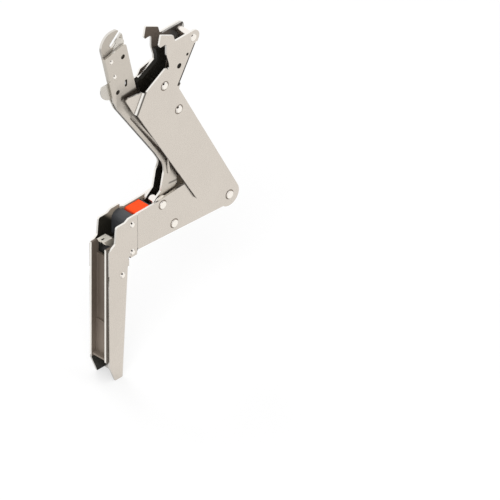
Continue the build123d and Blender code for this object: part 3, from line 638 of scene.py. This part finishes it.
def headProfile(head, radius):
    # From the middle out, with the height over the sheet: the button's top, its flank with both
    # corners cut by the softness, and the flange with its rim
    soft = turning["softness"]
    top, button, flange = head["height"], head["button"], head["flange"]
    flat = button - head["flank"]
    line = [(0, top), (flat - soft, top), (flat, top - soft / 2), (button - soft / 2, flange + soft),
            (button, flange)]
    if flange:
        line += [(radius - soft, flange), (radius, flange - soft), (radius, 0)]
    return np.array(line)


def turnedPiece(name, head):
    # The profile makes both heads; between them runs the shank. A fan round a middle point closes
    # each end, and the faces outside the button are the flange, which gets the painted shade.
    low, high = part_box(name)
    axis = ((low[0] + high[0]) / 2, (low[2] + high[2]) / 2)
    middle = (low[1] + high[1]) / 2
    base = (high[1] - low[1]) / 2 / mm - head["height"]
    upper = headProfile(head, (high[0] - low[0]) / 2 / mm) + (0, base)
    shank = [(head["shank"], base), (head["shank"], -base)]
    line = np.concatenate([upper, shank, (upper * (1, -1))[::-1]])
    rings = line[1:-1]
    points, here, quads = carriedRound(rings, axis, middle)
    there = np.roll(here, -1, axis=1)
    tips = [(axis[0], middle + mm * along, axis[1]) for along in (line[0, 1], line[-1, 1])]
    first = np.full(turning["steps"], len(points))
    fans = np.concatenate([np.stack([first, here[0], there[0]], axis=1),
                           np.stack([first + 1, there[-1], here[-1]], axis=1)])
    mesh = closedMesh(name + "_turned", np.concatenate([points, tips]).tolist(),
                      quads.tolist() + fans.tolist())
    flange = np.minimum(rings[:-1, 0], rings[1:, 0]) > head["button"] - turning["softness"] / 4
    dark = np.zeros(len(mesh.polygons), dtype=np.int32)
    dark[:len(quads)] = np.repeat(flange & (head["flange"] > 0), turning["steps"])
    mesh.polygons.foreach_set("material_index", dark)
    mesh.polygons.foreach_set("use_smooth", np.ones(len(mesh.polygons), dtype=bool))
    mesh.set_sharp_from_angle(angle=math.radians(turning["sharp"]))
    mesh.materials.append(finishes["bright"])
    mesh.materials.append(finishes["flangeShade"])
    piece = linked(name + "_turned", mesh)
    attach(piece, bodyOf[name])
    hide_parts(name)


for name, (finish, width) in pressed.items():
    brokenEdges(name, finish, width)
print("pressed and moulded pieces finished:", len(pressed))
for name, head in turned.items():
    turnedPiece(name, head)
print("rivets and pin turned:", len(turned))

# Dark discs in the round holes of the claws, sunk under the face of each sheet: a painted shade that
# stands in for the shade in the holes. Outer and inner are the distances of their ends from the middle
# plane, in millimetres.
holeShadeDiscs = {"axis": (63.3, 210.3), "radius": 1.78, "outer": 7.5, "inner": 6.7, "round": 0.2}


def clawHoleShadeDiscs():
    # A short turned disc of painted shade in each claw: the profile runs from the outer end over the cut
    # rim to the inner end, flat ends close it, and its mirror image makes the other one
    radius, outer, cut = holeShadeDiscs["radius"], holeShadeDiscs["outer"], holeShadeDiscs["round"]
    axis = [place * mm for place in holeShadeDiscs["axis"]]
    profile = np.array([(radius - cut, outer), (radius, outer - cut), (radius, holeShadeDiscs["inner"])])
    points, faces = [], []
    for side in (-1, 1):
        button, here, quads = carriedRound(profile * (1, side), axis, 0)
        first = len(points)
        faces += (quads + first).tolist() + [(here[0] + first).tolist(), (here[-1][::-1] + first).tolist()]
        points += button.tolist()
    mesh = closedMesh("claw_hole_shade_discs", points, faces)
    mesh.materials.append(finishes["dark"])
    piece = linked("claw_hole_shade_discs", mesh)
    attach(piece, bodyOf["claw_near"])


clawHoleShadeDiscs()
print("claw plugs made")
others = [name for name in nodes if name not in pressed and name not in turned]
for name in others:
    brokenEdges(name, *sleeves)
print("sleeves and washers finished:", len(others))

# Floor, light and camera. Sizes and places are in metres, angles in degrees, power in watts.
floor = {"tone": 0.86, "glow": 0.6, "rough": 0.9, "half": 3, "below": 0.0002}
card = {"towards": (-0.17, -0.68, 0.72), "away": 1.6, "half": 0.75, "tone": 0.01, "rough": 1}
sky = {"light": 0.75, "seen": 1}
lamps = {
    "key": {"place": (-0.9, -0.7, 1.3), "size": 0.9, "power": 14},
    "fill": {"place": (0.9, -1.2, 0.5), "size": 1.0, "power": 5},
    "rim": {"place": (0.4, 1.2, 1.2), "size": 0.8, "power": 7},
}
lampAim = (0.05, 0, 0.12)
lens = {"aim": (0.104004, -0.034024, 0.052581), "away": 2.0, "width": 1 / 3, "azimuth": -45,
        "elevation": 35.264}


def seenBy(tree, *rays):
    # 1 for the named kinds of ray and 0 for the others
    path = tree.nodes.new("ShaderNodeLightPath")
    seen = 0.0
    for ray in rays:
        seen = maths(tree, "MAXIMUM", path.outputs[ray], seen)
    return seen


def stagePlane(name, corners, material):
    mesh = bpy.data.meshes.new(name)
    mesh.from_pydata([tuple(corner) for corner in corners], [], [(0, 1, 2, 3)])
    mesh.materials.append(material)
    made = linked(name, mesh)
    return made


def matt(name, look):
    # A grey without a mirror
    made, tree, shader = newMaterial(name)
    shader.inputs["Base Color"].default_value = opaque((look["tone"],) * 3)
    shader.inputs["Roughness"].default_value = look["rough"]
    shader.inputs["Specular IOR Level"].default_value = 0
    return made, tree, shader


def makeFloor():
    # A pale floor under the part, a little bright by itself, so it stays white and keeps the shadow
    made, tree, shader = matt("paleFloor", floor)
    glow = tree.nodes.new("ShaderNodeEmission")
    mix = tree.nodes.new("ShaderNodeMixShader")
    seen = seenBy(tree, "Is Camera Ray", "Is Glossy Ray")
    tree.links.new(maths(tree, "MULTIPLY", seen, floor["glow"]), mix.inputs["Fac"])
    tree.links.new(shader.outputs["BSDF"], mix.inputs[1])
    tree.links.new(glow.outputs["Emission"], mix.inputs[2])
    tree.links.new(mix.outputs["Shader"], tree.nodes["Material Output"].inputs["Surface"])
    low, far = cadBox[0].z - floor["below"], floor["half"]
    stagePlane("floor", [(-far, -far, low), (far, -far, low), (far, far, low), (-far, far, low)], made)


def makeCard():
    # The dark place above the camera, that only mirrors see
    towards = Vector(card["towards"]).normalized()
    across = towards.cross((0, 0, 1)).normalized() * card["half"]
    up = across.cross(towards).normalized() * card["half"]
    middle = Vector(lens["aim"]) + towards * card["away"]
    corners = [middle - across - up, middle + across - up, middle + across + up, middle - across + up]
    plane = stagePlane("card", corners, matt("darkCard", card)[0])
    plane.visible_camera = False
    plane.visible_diffuse = False
    plane.visible_shadow = False
    plane.visible_transmission = False


def makeWorld():
    # White behind everything that is seen or mirrored, and a softer grey for the rest of the light
    world = bpy.data.worlds.new("studio")
    world.use_nodes = True
    tree = world.node_tree
    seen = seenBy(tree, "Is Camera Ray", "Is Glossy Ray", "Is Transmission Ray")
    level = tree.nodes.new("ShaderNodeMapRange")
    level.inputs["To Min"].default_value = sky["light"]
    level.inputs["To Max"].default_value = sky["seen"]
    tree.links.new(seen, level.inputs["Value"])
    tree.links.new(level.outputs["Result"], tree.nodes["Background"].inputs["Strength"])
    tree.nodes["Background"].inputs["Color"].default_value = (1, 1, 1, 1)
    bpy.context.scene.world = world


def makeLamp(name, lamp):
    # A square soft box that looks at the part
    data = bpy.data.lights.new(name, "AREA")
    data.energy = lamp["power"]
    data.size = lamp["size"]
    made = linked(name, data)
    made.location = lamp["place"]
    made.rotation_euler = (Vector(lampAim) - made.location).to_track_quat("-Z", "Y").to_euler()
    made.visible_glossy = False


def makeCamera():
    # A parallel view from the left, the front and above
    turn, rise = math.radians(lens["azimuth"]), math.radians(lens["elevation"])
    back = Vector((math.sin(turn) * math.cos(rise), -math.cos(turn) * math.cos(rise), math.sin(rise)))
    camera = linked("camera", bpy.data.cameras.new("camera"))
    camera.data.type = "ORTHO"
    camera.data.ortho_scale = lens["width"]
    camera.location = Vector(lens["aim"]) + back * lens["away"]
    camera.rotation_euler = (-back).to_track_quat("-Z", "Y").to_euler()
    bpy.context.scene.camera = camera


makeFloor()
makeCard()
makeWorld()
for name, lamp in lamps.items():
    makeLamp(name, lamp)
makeCamera()
bpy.context.scene.view_settings.view_transform = "Standard"
print("floor, lamps and camera set")
